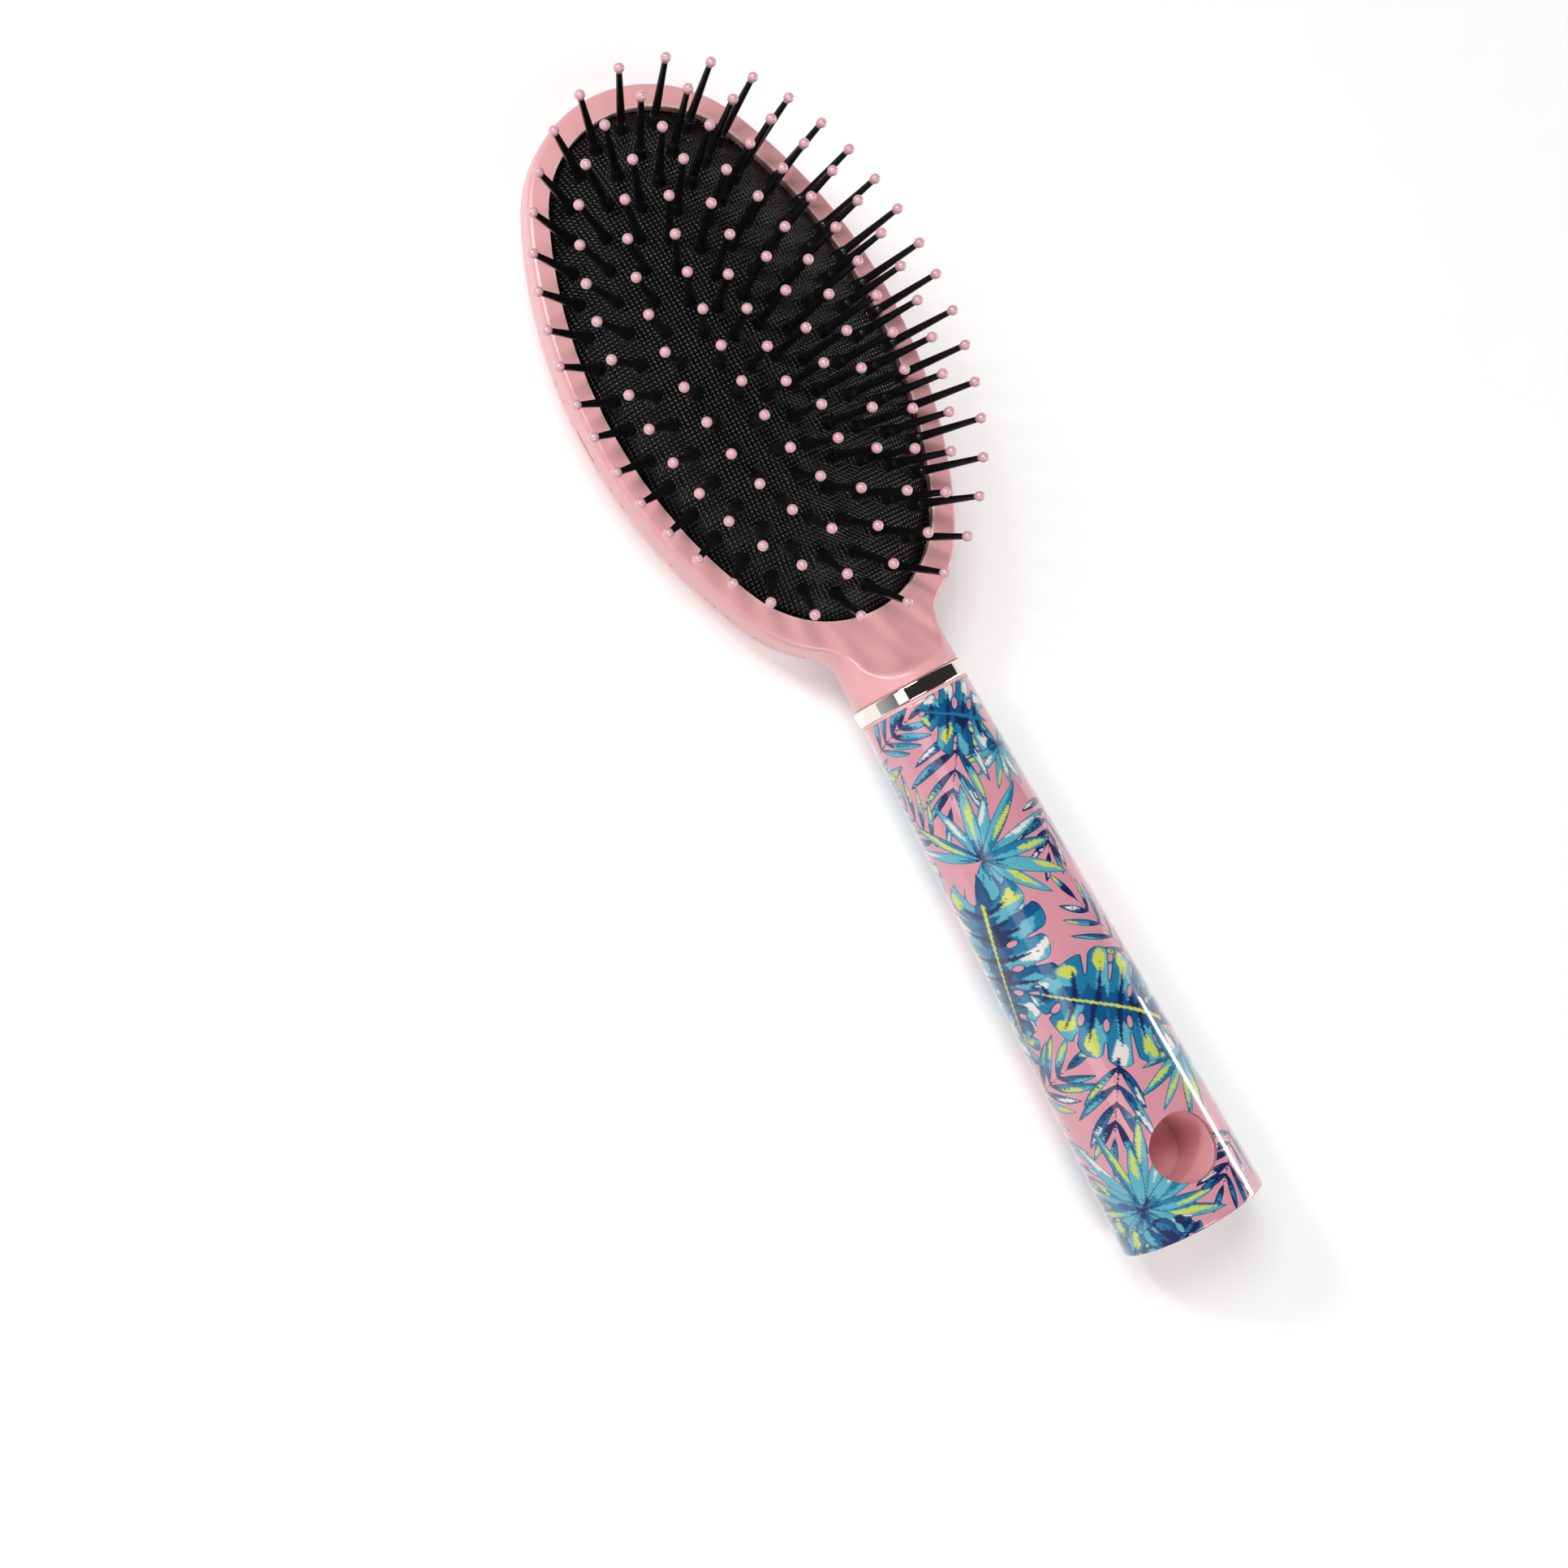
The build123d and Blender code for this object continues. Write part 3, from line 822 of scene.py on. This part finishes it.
def paint_leaves(angle, y):
    """All leaves of the print, back to front. Places are (degrees from the front, y)."""
    leaves = Print(angle, y)
    # far side
    fans = ((118, -24), (176, -30), (228, -22), (140, -104), (205, -108), (96, -112))
    for k, place in enumerate(fans):
        leaves.fan(place, 40 + 70 * k, 300, 15, 15, 1.25, 300 + k)
    fronds = ((150, -48), (215, -58), (112, -66), (168, -84), (240, -92), (196, -16))
    for k, (turn, at) in enumerate(fronds):
        leaves.frond((turn, at), (turn + 34 * (-1) ** k, at - 16), 9, 5, 340 + k)
    monsteras = ((190, -66), (128, -88), (222, -40), (100, -44), (172, -118), (250, -74))
    for k, (turn, at) in enumerate(monsteras):
        leaves.monstera((turn + 30, at + 4), (turn - 28, at - 5), 10, 380 + k)
    # next to the ferrule
    leaves.fan((38, -24), 200, 300, 13, 12, 1.0, 21)
    leaves.frond((-86, -15), (-34, -12), 7.5, 4, 22, 46, 0.1, strokes=COOL_STROKES)
    leaves.frond((8, -17), (-40, -31), 10.0, 4, 23, 46, 0.14, 0.85)
    leaves.monstera((34, -18.5), (-18, -12.0), 8.0, 24, 3, MID)
    leaves.frond((-70, -36), (-100, -22), 8, 5, 25)
    # middle
    leaves.frond((66, -36), (22, -47), 8.0, 5, 31, 50, 0.1, strokes=DARK_STROKES)
    leaves.fan((-34, -42), 75, 300, 13, 19, 1.25, 32)
    leaves.frond((58, -75), (24, -56), 8.5, 5, 33)
    leaves.monstera((-54, -49.5), (-84, -75), 12.5, 34, 5)
    # lower half
    leaves.fan((46, -91.3), 215, 280, 13, 15, 1.1, 41)
    leaves.frond((-112, -88), (-52, -84), 10, 4, 42, 44, 0.12, 0.85)
    leaves.monstera((45, -84.5), (-44, -69.0), 11.5, 44, 5)
    leaves.frond((-12, -86.5), (-46, -100), 10.5, 4, 43, 44, 0.14, 0.85)
    # end
    leaves.frond((52, -109), (10, -117), 8.5, 5, 51, 50, 0.1, strokes=DARK_STROKES)
    leaves.monstera((-118, -118), (-82, -108), 8.0, 52, 4)
    leaves.fan((-50, -113.9), 10, 350, 19, 19.5, 1.25, 53)
    leaves.monstera((-60, -125.5), (-20, -119.5), 7.0, 54, 3, MID, DARK_STROKES)
    leaves.monstera((-70, -125.5), (-106, -116), 7.0, 55, 3, MID)
    return leaves


# ==== Building the pieces ====

def head_shell(node, field, plastic, step, layers, low_y, high_z):
    """One half of the head, in place of its plainer CAD node."""
    low_z = AXIS_Z - layers * step  # the parting line falls half-way between samples
    corners, faces = surface_net(field, (-34.4, low_y, low_z), (34.4, 122.2, high_z), step)
    corners = square_edge(corners, step)
    piece = make_piece(f"{node}_moulded", corners, faces, plastic, "head_plastic", node,
                       shaded_as_wall(field))
    return piece, corners


def build_head(plastic):
    """Front frame with neck, a pale highlight painted along the inner edge of its lip, and back
    cover.
    """
    front, corners = head_shell("front_frame", front_field, plastic, 0.42, 28, -6.2, 27)
    # painted highlight: share of a pale line along the lip's inner edge, on the face only
    lip = np.abs(oval_distance(corners[:, 0], corners[:, 1] - HEAD_Y, OPENING) - 0.05)
    painted_lip_highlight = np.clip(1 - lip / 0.42, 0, 1) * (corners[:, 2] > FACE_Z - 0.5)
    layer = front.data.color_attributes.new("painted_lip_highlight", "FLOAT_COLOR", "POINT")
    layer.data.foreach_set("color", np.repeat(painted_lip_highlight, 4).astype(np.float32))
    head_shell("back_cover", back_field, plastic, 0.6, 26, 3.0, 15.2)


def on_axis(axis, value):
    """Number of the grid line below a value, and the share of the way to the next."""
    steps = np.clip((value - axis[0]) / (axis[1] - axis[0]), 0, len(axis) - 1.001)
    line = np.floor(steps).astype(int)
    return line, steps - line


def cushion_field(swell, x_axis, y_axis):
    """Field of the dome with a small swelling of rubber round each pin."""
    def field(x, y, z):
        from_centre = y - HEAD_Y
        (i, s), (j, t) = on_axis(x_axis, x), on_axis(y_axis, y)
        raised = (
            swell[i, j] * (1 - s) * (1 - t) + swell[i + 1, j] * s * (1 - t)
            + swell[i, j + 1] * (1 - s) * t + swell[i + 1, j + 1] * s * t
        )
        top = (z - dome_height(x, from_centre) - raised) * 0.9
        side = oval_distance(x, from_centre, OPENING) + EDGE_GAP
        return np.maximum(both(top, side, 0.5), CUSHION_FOOT_Z - z)
    return field


def build_cushion(rubber):
    """Air cushion: crowned rubber dome with a small swelling round each pin, and its flange."""
    step = 0.2
    x_axis, y_axis = np.arange(-31, 31.1, step), np.arange(HEAD_Y - 55, HEAD_Y + 55.1, step)
    x, y = np.meshgrid(x_axis, y_axis, indexing="ij")
    swell = np.zeros(x.shape)
    for place in (place for places in PIN_GROUPS.values() for place in places):
        away = np.hypot(x - place[0], y - HEAD_Y - place[1] - PIN_SHIFT_Y)
        swell = np.maximum(swell, SWELL_HEIGHT * ease(SWELL_RADIUS - away, 0, 1.5))
    field = cushion_field(swell, x_axis, y_axis)
    corners, faces = surface_net(field, (-29.1, 9.9, CUSHION_FOOT_Z), (29.1, 116.5, 30.4), 0.42)
    cushion = make_piece("cushion_dome", corners, faces, rubber, "cushion_rubber", "cushion", field)
    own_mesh(cushion)

    def flange_field(x, y, z):
        plan = oval_distance(x, y - HEAD_Y, OPENING)
        band = both(plan - POCKET_OFFSET + 0.2, -plan - 2.5, 0.3)
        return both(band, np.abs(z - sum(FLANGE) / 2) - (FLANGE[1] - FLANGE[0]) / 2, 0.3)

    corners, faces = surface_net(flange_field, (-32, 7, FLANGE[0]), (32, 119.5, FLANGE[1]), 0.6)
    make_piece("cushion_flange", corners, faces, rubber, "cushion_rubber", field=flange_field)


def build_pins(nylon, enamel):
    """Rings of pins with flared collars, and their ball tips, on the sliding bodies."""
    pin_profile = [
        (0.5, -0.9), (1.35, -0.6), (1.38, 0.25), (1.3, 0.5), (1.2, 0.8), (1.13, 1.9), (1.1, 2.5),
        (1.0, 2.8), (0.88, 3.0), (0.85, 4.0), (0.76, 8.5), (0.66, 12.5), (0.6, 15.6), (0.55, 16.6),
    ]
    tip_profile = [(0.62, PIN_LENGTH - 0.98), (0.68, PIN_LENGTH - 0.84)]
    tip_profile += arc((0, PIN_LENGTH), TIP_RADIUS, -50, 86, 14)[1:]
    kinds = (
        ("pins", "moulded", lathe(pin_profile, 16), nylon, "pin_nylon"),
        ("tips", "enamelled", lathe(tip_profile, 22), enamel, "tip_enamel"),
    )
    for group, places in PIN_GROUPS.items():
        frames = [pin_frame(place) for place in places]
        for kind, finish, (shape, shape_faces), material, slot in kinds:
            corners, faces = copies(shape, shape_faces, frames)
            make_piece(f"{kind}_{group}_{finish}", corners, faces, material, slot,
                       f"{kind}_{group}", body=f"bristles_{group}")


def build_ferrule(plating):
    """Polished ring with rounded edges between neck and handle."""
    top, end = -NECK_END_Y, -FERRULE_END_Y
    edge = 0.4
    section = arc((FERRULE_RADIUS - edge, top + edge), edge, -90, 0, 8)
    section += arc((FERRULE_RADIUS - edge, end - edge), edge, 0, 90, 8)
    section += [(9.0, end), (9.0, top)]
    corners, faces = turned_ring(section, 192)
    corners = along_handle(corners)
    make_piece("ferrule_polished", corners, faces, plating, "ferrule_chrome", "ferrule")


def sleeve_point(turn, y, inset):
    """Point on the sleeve at an angle from the front, pulled in by inset."""
    radius = handle_radius(y) - inset
    return radius * np.sin(turn), y, AXIS_Z + radius * np.cos(turn)


def hole_angle(point):
    """Angle of a point round the hanging hole."""
    return atan2(point[1] - HOLE_Y, point[0])


def holed_wall(rows, columns, inset, hole_radius, outward):
    """Tube wall with the hanging hole cut out: corners, faces, hole loop, end loops."""
    turns = 2 * pi * np.arange(columns) / columns
    turn, y = np.meshgrid(turns, rows)
    corners = np.stack(sleeve_point(turn.ravel(), y.ravel(), inset), axis=1)
    away = np.hypot(corners[:, 0], corners[:, 1] - HOLE_Y)
    within = (away < hole_radius) & (corners[:, 2] > AXIS_Z)
    faces = [
        face for face in grid_faces(len(rows), columns) if not all(within[corner] for corner in face)
    ]
    loop = sorted(
        {corner for face in faces for corner in face if within[corner]},
        key=lambda corner: hole_angle(corners[corner]),
    )
    for corner in loop:
        grow = hole_radius / max(away[corner], 1e-6)
        x, y_new = corners[corner, 0] * grow, HOLE_Y + (corners[corner, 1] - HOLE_Y) * grow
        radius = handle_radius(y_new) - inset
        corners[corner] = (x, y_new, AXIS_Z + sqrt(radius ** 2 - x ** 2))
    if not outward:
        faces = [face[::-1] for face in faces]
    return corners, faces, loop


def bridge(first, second, angles):
    """Triangles between two closed loops that are both sorted by angle."""
    faces, i, j = [], 0, 0
    n, m = len(first), len(second)
    while i < n or j < m:
        next_first = angles[first[(i + 1) % n]] + 2 * pi * ((i + 1) // n)
        next_second = angles[second[(j + 1) % m]] + 2 * pi * ((j + 1) // m)
        if j >= m or (i < n and next_first <= next_second):
            faces.append([first[i % n], first[(i + 1) % n], second[j % m]])
            i += 1
        else:
            faces.append([first[i % n], second[(j + 1) % m], second[j % m]])
            j += 1
    return faces


def build_sleeve(gloss):
    """Printed sleeve: fine outer wall, rounded end, hanging hole and inner wall."""
    columns = SLEEVE_COLUMNS
    edge = SLEEVE_ROUNDING
    rows = np.linspace(SLEEVE_START_Y - 0.12, HANDLE_END_Y + edge, SLEEVE_ROWS)
    outer, faces, loop = holed_wall(rows, columns, 0, HOLE_RADIUS + HOLE_RIM, True)
    parts = [outer]

    def add(points):
        """Adds corners and gives their numbers."""
        first = sum(len(part) for part in parts)
        parts.append(points)
        return list(range(first, first + len(points)))

    def add_ring(y, inset):
        """Ring of corners across the wall's edge."""
        turns = 2 * pi * np.arange(columns) / columns
        return add(np.stack(sleeve_point(turns, np.full(columns, y), inset), axis=1))

    def join(first, second):
        """Quads between two rings of the same count."""
        n = len(first)
        return [[first[k], first[(k + 1) % n], second[(k + 1) % n], second[k]] for k in range(n)]

    ring = list(range((SLEEVE_ROWS - 1) * columns, SLEEVE_ROWS * columns))
    for step in range(1, 7):
        lean = radians(15 * step)
        following = add_ring(HANDLE_END_Y + edge - edge * sin(lean), edge * (1 - cos(lean)))
        faces += join(ring, following)
        ring = following
    end_ring = add_ring(HANDLE_END_Y, SLEEVE_WALL)
    faces += join(ring, end_ring)
    start_ring = add_ring(SLEEVE_START_Y, 0.12)
    faces += join(start_ring, list(range(columns)))
    inner_start = add_ring(SLEEVE_START_Y, SLEEVE_WALL)
    faces += join(inner_start, start_ring)

    # inner wall with a third of the columns and its own edge of the hole
    third = columns // 3
    rows = np.linspace(SLEEVE_START_Y, HANDLE_END_Y, 90)
    inner, inner_faces, inner_loop = holed_wall(
        rows, third, SLEEVE_WALL, HOLE_RADIUS + BUSH_GAP, False
    )
    numbers = add(inner)
    faces += [[numbers[corner] for corner in face] for face in inner_faces]
    ends = ((inner_start, numbers[:third], True), (end_ring, numbers[-third:], False))
    for fine, coarse, flip in ends:
        for k in range(third):
            face = [fine[(3 * k + n) % columns] for n in range(4)]
            face += [coarse[(k + 1) % third], coarse[k]]
            faces.append(face[::-1] if flip else face)

    # rounded rim of the hole and its wall down to the inner surface
    wide, rounding = HOLE_RADIUS + HOLE_RIM, HOLE_RIM - BUSH_GAP
    leans = [radians(angle) for angle in (22, 45, 68, 90)]
    section = [(wide - rounding * sin(a), rounding * (1 - cos(a))) for a in leans]
    section.append((HOLE_RADIUS + BUSH_GAP, 0.8))
    base = outer[loop]
    turn = np.arctan2(base[:, 1] - HOLE_Y, base[:, 0])
    rim = loop
    for radius, drop in section:
        following = add(np.stack(
            [radius * np.cos(turn), HOLE_Y + radius * np.sin(turn), base[:, 2] - drop], axis=1
        ))
        faces += [face[::-1] for face in join(rim, following)]
        rim = following
    angles = {corner: hole_angle(outer[start]) for corner, start in zip(rim, loop)}
    angles |= {numbers[start]: hole_angle(inner[start]) for start in inner_loop}
    faces += bridge([numbers[start] for start in inner_loop], rim, angles)

    corners = np.concatenate(parts)
    sleeve = make_piece("handle_sleeve_printed", corners, faces, gloss, "printed_sleeve",
                        "handle_sleeve")
    paint_sleeve(sleeve, corners)


def paint_sleeve(sleeve, corners):
    """Stores the print on the sleeve: leaf colours, and distances from the leaves' edges."""
    angle = np.arctan2(corners[:, 0], corners[:, 2] - AXIS_Z)
    away = np.hypot(corners[:, 0], corners[:, 2] - AXIS_Z)
    leaves = paint_leaves(angle, corners[:, 1])
    bare = handle_radius(corners[:, 1]) - away > 0.25
    cover = np.where(bare, EDGE_SCALE, leaves.cover)
    edges = [np.clip(stored_edge(value), 0, 1) for value in (cover, leaves.line, 0 * cover)]
    for name, channels in (("print", leaves.colour), ("edges", np.stack(edges, axis=1))):
        values = np.concatenate([channels, np.ones((len(channels), 1))], axis=1)
        layer = sleeve.data.color_attributes.new(name, "FLOAT_COLOR", "POINT")
        layer.data.foreach_set("color", values.astype(np.float32).ravel())


def build_bush(plastic):
    """Tube that lines the hanging hole, its front edge following the sleeve's inside."""
    segments = 120
    turns = [2 * pi * k / segments for k in range(segments)]

    def front(radius, turn):
        y = HOLE_Y + radius * sin(turn)
        inner = handle_radius(y) - SLEEVE_WALL - 0.02
        return AXIS_Z + sqrt(inner ** 2 - (radius * cos(turn)) ** 2)

    # how much wider than the hole each ring is, and how far it lies below the sleeve's inside
    rings = ((0, None), (0, 0.4), (0.1, 0.15), (0.3, 0.05), (BUSH_WALL, 0.0), (BUSH_WALL, None))
    corners = []
    for wider, drop in rings:
        radius = HOLE_RADIUS + wider
        for turn in turns:
            height = HOLE_FLOOR_Z + 0.35 if drop is None else front(radius, turn) - drop
            corners.append((radius * cos(turn), HOLE_Y + radius * sin(turn), height))
    faces = [face[::-1] for face in loop_faces(len(rings), segments)]
    make_piece("hole_bush_moulded", corners, faces, plastic, "handle_plastic", "hole_bush")


def build_stage():
    """Floor, lights, world and camera."""
    mesh = bpy.data.meshes.new("floor")
    reach = 3.0
    signs = ((-1, -1), (1, -1), (1, 1), (-1, 1))
    mesh.from_pydata([(reach * x, reach * y, 0) for x, y in signs], [], [(0, 1, 2, 3)])
    mesh.materials.append(pale_floor())
    floor = add_object("floor", mesh)
    floor.location.z = cad_low.z - 0.0002

    def soft_light(name, place, aim, width, height, power):
        data = bpy.data.lights.new(name, "AREA")
        data.shape, data.size, data.size_y = "RECTANGLE", width, height
        data.energy = power
        light = add_object(name, data)
        light.location = place
        light.rotation_euler = (Vector(place) - Vector(aim)).to_track_quat("Z", "Y").to_euler()

    middle = (cad_low + cad_high) / 2
    soft_light("top", (-0.20, 0.42, 0.95), middle, 0.42, 0.42, 6.0)
    soft_light("key", (-0.40, 0.52, 0.60), middle, 0.12, 0.12, 2.4)
    soft_light("fill", (-0.12, -0.68, 0.88), middle, 0.6, 0.6, 5.2)
    soft_light("ring", (-0.50, -0.01, 0.64), (0, -0.008, 0.015), 0.34, 0.30, 0.4)
    soft_light("strip", (0.62, -0.36, 0.09), (0, -0.10, 0.015), 0.5, 0.10, 2.0)

    # white walls on the left and low down, dark above and to the right
    world = bpy.data.worlds.new("studio")
    world.use_nodes = True
    nodes, links = world.node_tree.nodes, world.node_tree.links
    toward = nodes.new("ShaderNodeVectorMath")
    toward.operation = "DOT_PRODUCT"
    toward.inputs[1].default_value = (-0.75, 0.0, -0.66)
    links.new(nodes.new("ShaderNodeTexCoord").outputs["Generated"], toward.inputs[0])
    level = nodes.new("ShaderNodeMapRange")
    ends = {"From Min": -0.15, "From Max": 0.7, "To Min": 0.03, "To Max": 0.48}
    for socket, value in ends.items():
        level.inputs[socket].default_value = value
    links.new(toward.outputs["Value"], level.inputs["Value"])
    links.new(level.outputs["Result"], nodes["Background"].inputs["Strength"])
    nodes["Background"].inputs["Color"].default_value = (0.97, 0.98, 1.0, 1)
    bpy.context.scene.world = world
    bpy.context.scene.view_settings.view_transform = "Standard"

    data = bpy.data.cameras.new("camera")
    data.lens, data.sensor_width = 65.2, 36.0
    data.clip_start = 0.01
    camera = add_object("camera", data)
    camera.location = (-0.1918, -0.0185, 0.5277)
    camera.rotation_euler = [radians(angle) for angle in (9.087, -14.927, -29.368)]
    bpy.context.scene.camera = camera


def dress(node, material):
    """Gives a carried-over CAD node its material."""
    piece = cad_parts[node]
    piece.data.materials.clear()
    piece.data.materials.append(material)


head_plastic = pink_plastic("head_plastic", linear(226, 164, 167), 0.31)
handle_plastic = pink_plastic("handle_plastic", linear(232, 174, 178), 0.31)
build_head(head_plastic)
build_cushion(woven_rubber())
build_pins(black_plastic("pin_nylon", 0.003, 0.20, 0.002), tip_enamel())
build_ferrule(chrome())
build_sleeve(printed_gloss())
build_bush(handle_plastic)
dress("handle_core", handle_plastic)
dress("end_cap", handle_plastic)
dress("cushion_plate", black_plastic("inner_plastic", 0.015, 0.5, 0.03))
build_stage()
